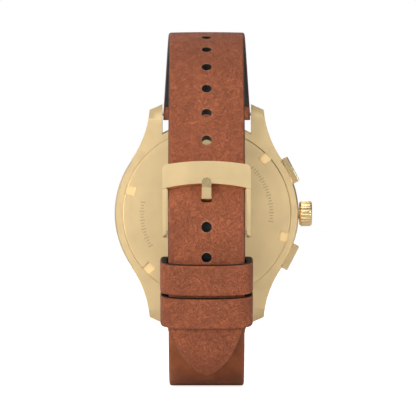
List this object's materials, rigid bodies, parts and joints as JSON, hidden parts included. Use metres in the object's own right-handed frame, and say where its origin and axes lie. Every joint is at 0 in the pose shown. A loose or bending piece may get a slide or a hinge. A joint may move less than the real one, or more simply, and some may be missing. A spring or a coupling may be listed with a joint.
{
  "type": "chronograph wristwatch",
  "caption": "Chronograph wristwatch with a round gold-tone case, crown and push-pieces at its side, on a buckled leather strap closed as round a wrist.",
  "frame": {"origin": "centre of the case back's outer face", "axes": "+Y out of the dial, +X out of the crown at 3 o'clock, +Z towards 6 o'clock; the strap's closed loop lies on the -Y side"},
  "size_m": [0.045, 0.0668, 0.0776],
  "materials": {
    "gold_satin": "satin pale gold plating, fine brushing",
    "gold_polished": "polished pale gold plating",
    "crystal_glass": "clear flat mineral glass",
    "gasket": "matt black rubber",
    "leather": "pebbled reddish-tan leather, semi-matt",
    "leather_smooth": "smooth brown leather, semi-matt",
    "lining": "smooth black lining leather",
    "steel": "satin steel",
    "spring_steel": "bright spring steel",
    "dial_silver": "silvery cream sunray dial",
    "nickel": "nickel-plated plate",
    "wheel_brass": "gilt brass wheel",
    "magnet": "dark sintered magnet",
    "stator_iron": "bare soft iron sheet",
    "coil_copper": "enamelled copper winding",
    "circuit": "green solder mask on thin board",
    "spacer": "white moulded plastic",
    "battery_steel": "bright nickel-plated steel"
  },
  "bodies": {
    "case": {"mid_case": "gold_satin", "bezel": "gold_polished", "crystal": "crystal_glass", "case_back": "gold_satin", "case_gaskets": "gasket", "movement_ring": "spacer", "crown_tube": "steel", "pusher_tubes": "steel", "start_spring": "spring_steel", "reset_spring": "spring_steel", "strap_long": "leather", "lining_long": "lining", "strap_short": "leather_smooth", "lining_short": "lining", "fixed_keeper": "leather", "lug_bars": "steel", "lug_bar_pins": "steel", "buckle_bar": "steel", "dial": "dial_silver", "dial_markers": "gold_polished", "flange_ring": "dial_silver", "main_plate": "nickel", "train_bridge": "nickel", "stators": "stator_iron", "coils": "coil_copper", "circuit_board": "circuit", "battery": "battery_steel", "battery_clamp": "steel", "quartz_can": "battery_steel", "movement_screws": "steel"},
    "clutch": {"clutch_pinion": "steel"},
    "crown": {"crown": "gold_polished", "crown_gasket": "gasket", "winding_stem": "steel"},
    "setting_lever": {"setting_lever": "steel"},
    "start_button": {"start_pusher": "gold_polished", "start_clip": "spring_steel"},
    "reset_button": {"reset_pusher": "gold_polished", "reset_clip": "spring_steel"},
    "minute": {"minute_hand": "gold_polished", "centre_wheel": "wheel_brass"},
    "hour": {"hour_hand": "gold_polished", "hour_wheel": "wheel_brass"},
    "minute_wheel": {"minute_wheel": "wheel_brass"},
    "day_idler": {"day_idler": "wheel_brass"},
    "day": {"day_hand": "gold_polished", "day_wheel": "wheel_brass"},
    "third_wheel": {"third_wheel": "wheel_brass"},
    "seconds": {"seconds_hand": "gold_polished", "fourth_wheel": "wheel_brass"},
    "chrono": {"chrono_hand": "gold_polished", "chrono_wheel": "wheel_brass"},
    "chrono_idler": {"chrono_idler": "wheel_brass"},
    "counter": {"counter_hand": "gold_polished", "counter_wheel": "wheel_brass"},
    "time_rotor": {"time_rotor": "magnet"},
    "chrono_rotor": {"chrono_rotor": "magnet"},
    "buckle": {"buckle_frame": "gold_satin"},
    "tongue": {"buckle_tongue": "gold_polished"},
    "keeper": {"floating_keeper": "leather"}
  },
  "joints": [
    {"name": "crown_turn", "type": "hinge", "parent": "case", "child": "clutch", "pos_m": [0.0093, 0.004, 0], "axis": [1, 0, 0], "continuous": true},
    {"name": "crown_pull", "type": "slide", "parent": "clutch", "child": "crown", "axis": [1, 0, 0], "range_m": [0, 0.001]},
    {"name": "setting_lever_turn", "type": "hinge", "parent": "case", "child": "setting_lever", "pos_m": [0.01125, 0.00475, -0.0026], "axis": [0, 1, 0], "range_deg": [0, 22.7]},
    {"name": "start_push", "type": "slide", "parent": "case", "child": "start_button", "axis": [-0.8878, 0, 0.4602], "range_m": [0, 0.0008], "stiffness_N_per_m": 400, "springref_m": -0.0006, "deforming": ["start_spring"]},
    {"name": "reset_push", "type": "slide", "parent": "case", "child": "reset_button", "axis": [-0.8878, 0, -0.4602], "range_m": [0, 0.0008], "stiffness_N_per_m": 400, "springref_m": -0.0006, "deforming": ["reset_spring"]},
    {"name": "minute_turn", "type": "hinge", "parent": "case", "child": "minute", "pos_m": [0, 0.0082, 0], "axis": [0, -1, 0], "continuous": true},
    {"name": "hour_turn", "type": "hinge", "parent": "case", "child": "hour", "pos_m": [0, 0.0078, 0], "axis": [0, -1, 0], "continuous": true},
    {"name": "minute_wheel_turn", "type": "hinge", "parent": "case", "child": "minute_wheel", "pos_m": [0.0015, 0.0064, -0.0026], "axis": [0, -1, 0], "continuous": true},
    {"name": "day_idler_turn", "type": "hinge", "parent": "case", "child": "day_idler", "pos_m": [0.00236, 0.0066, 0.00239], "axis": [0, -1, 0], "continuous": true},
    {"name": "day_turn", "type": "hinge", "parent": "case", "child": "day", "pos_m": [0.0076, 0.0066, 0], "axis": [0, -1, 0], "continuous": true},
    {"name": "third_wheel_turn", "type": "hinge", "parent": "case", "child": "third_wheel", "pos_m": [0.00062, 0.0045, 0.00391], "axis": [0, -1, 0], "continuous": true},
    {"name": "seconds_turn", "type": "hinge", "parent": "case", "child": "seconds", "pos_m": [0, 0.0045, 0.0076], "axis": [0, -1, 0], "continuous": true},
    {"name": "chrono_turn", "type": "hinge", "parent": "case", "child": "chrono", "pos_m": [0, 0.0087, 0], "axis": [0, -1, 0], "continuous": true},
    {"name": "chrono_idler_turn", "type": "hinge", "parent": "case", "child": "chrono_idler", "pos_m": [-0.00369, 0.004, -0.00062], "axis": [0, -1, 0], "continuous": true},
    {"name": "counter_turn", "type": "hinge", "parent": "case", "child": "counter", "pos_m": [-0.0076, 0.0045, 0], "axis": [0, -1, 0], "continuous": true},
    {"name": "time_rotor_turn", "type": "hinge", "parent": "case", "child": "time_rotor", "pos_m": [0.0046, 0.0036, 0.0084], "axis": [0, -1, 0], "continuous": true},
    {"name": "chrono_rotor_turn", "type": "hinge", "parent": "case", "child": "chrono_rotor", "pos_m": [0.0014, 0.0036, -0.0049], "axis": [0, -1, 0], "continuous": true},
    {"name": "buckle_swing", "type": "hinge", "parent": "case", "child": "buckle", "pos_m": [0, -0.05196, -0.00392], "axis": [1, 0, 0], "range_deg": [0, 2.5]},
    {"name": "tongue_lift", "type": "hinge", "parent": "buckle", "child": "tongue", "pos_m": [0, -0.05196, -0.00392], "axis": [1, 0, 0], "range_deg": [0, 2.5]},
    {"name": "keeper_slide", "type": "slide", "parent": "case", "child": "keeper", "axis": [0, 0.3665, -0.9304], "range_m": [0, 0.002]}
  ],
  "couplings": [
    {"joint": "setting_lever_turn", "follows": "crown_pull", "rad_per_m": 394},
    {"joint": "hour_turn", "follows": "minute_turn", "ratio": 0.083333},
    {"joint": "minute_wheel_turn", "follows": "minute_turn", "ratio": -0.33333},
    {"joint": "day_idler_turn", "follows": "minute_turn", "ratio": -0.20833},
    {"joint": "day_turn", "follows": "minute_turn", "ratio": 0.041667},
    {"joint": "third_wheel_turn", "follows": "minute_turn", "ratio": -8},
    {"joint": "seconds_turn", "follows": "minute_turn", "ratio": 60},
    {"joint": "chrono_idler_turn", "follows": "chrono_turn", "ratio": -0.13333},
    {"joint": "counter_turn", "follows": "chrono_turn", "ratio": 0.016667}
  ]
}
